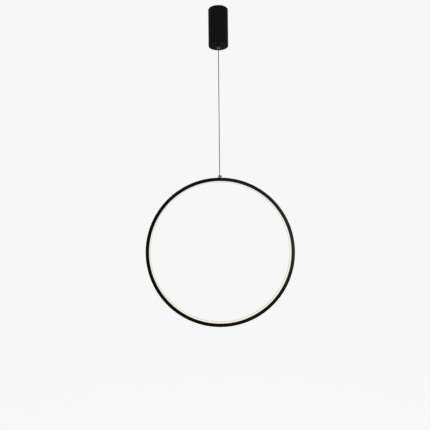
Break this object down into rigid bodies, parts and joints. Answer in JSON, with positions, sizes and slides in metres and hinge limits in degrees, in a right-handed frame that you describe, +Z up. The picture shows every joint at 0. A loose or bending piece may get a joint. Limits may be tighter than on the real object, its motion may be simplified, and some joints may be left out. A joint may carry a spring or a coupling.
{
  "type": "led ring pendant light",
  "caption": "Pendant light: a slim upright ring, lit on its inner face, hangs on one taut cable from a tall cylindrical ceiling canopy.",
  "frame": {"origin": "centre of the ceiling plate's top face, between its two ceiling screws, on the ceiling", "axes": "+Z up into the ceiling; the ring's axis runs along Y with its front facing -Y; +X to the right"},
  "size_m": [0.6, 0.08, 1.282],
  "materials": {
    "canopy_paint": "matt black powder coat",
    "ring_paint": "matt black powder coat",
    "zinc_steel": "zinc plated",
    "black_screw": "black oxide",
    "gripper_metal": "black nickel",
    "barrel_steel": "turned stainless steel",
    "cable_sheath": "grey sheath",
    "driver_case": "fine texture",
    "terminal_plastic": "moulded",
    "brass": "plain",
    "grommet_rubber": "matt",
    "live_sheath": "brown",
    "neutral_sheath": "blue",
    "earth_sheath": "green with a yellow stripe",
    "core_sheath": "clear over tinned wire",
    "joiner_aluminium": "mill",
    "strip_board": "white solder mask",
    "chip_phosphor": "phosphor gel",
    "opal": "satin opal, lit from behind"
  },
  "bodies": {
    "canopy": {"ceiling_plate": "zinc_steel", "cable_grommet": "grommet_rubber", "canopy_shell": "canopy_paint", "side_screws": "black_screw", "driver_bracket": "zinc_steel", "bracket_screws": "zinc_steel", "led_driver": "driver_case", "driver_screws": "zinc_steel", "terminal_block": "terminal_plastic", "terminal_screws": "brass", "block_screw": "zinc_steel", "earth_lug": "zinc_steel", "earth_screw": "brass", "earth_lead": "earth_sheath", "live_lead": "live_sheath", "neutral_lead": "neutral_sheath", "inner_cable": "cable_sheath", "gripper_body": "gripper_metal", "gripper_cap": "gripper_metal", "gripper_nut": "zinc_steel", "gripper_spring": "barrel_steel"},
    "plunger": {"release_plunger": "gripper_metal", "gripper_jaws": "barrel_steel"},
    "drop": {"suspension_cable": "cable_sheath", "cable_ferrule": "barrel_steel"},
    "ring": {"swivel_barrel": "barrel_steel", "lock_screw": "barrel_steel", "hanger_washer": "grommet_rubber", "hanger_stud": "zinc_steel", "joiner_plate": "joiner_aluminium", "joiner_screws": "zinc_steel", "ring_leads": "core_sheath", "ring_channel": "ring_paint", "led_strip": "strip_board", "led_chips": "chip_phosphor", "diffuser": "opal"}
  },
  "joints": [
    {"name": "gripper_release", "type": "slide", "parent": "canopy", "child": "plunger", "axis": [0, 0, 1], "range_m": [0, 0.003], "stiffness_N_per_m": 200, "springref_m": -0.003, "deforming": ["gripper_spring"]},
    {"name": "ring_height", "type": "slide", "parent": "canopy", "child": "drop", "axis": [0, 0, 1], "range_m": [0, 0.38], "deforming": ["suspension_cable"]},
    {"name": "ring_swivel", "type": "hinge", "parent": "drop", "child": "ring", "pos_m": [0, 0, -0.6745], "axis": [0, 0, 1], "range_deg": [-180, 180]}
  ]
}
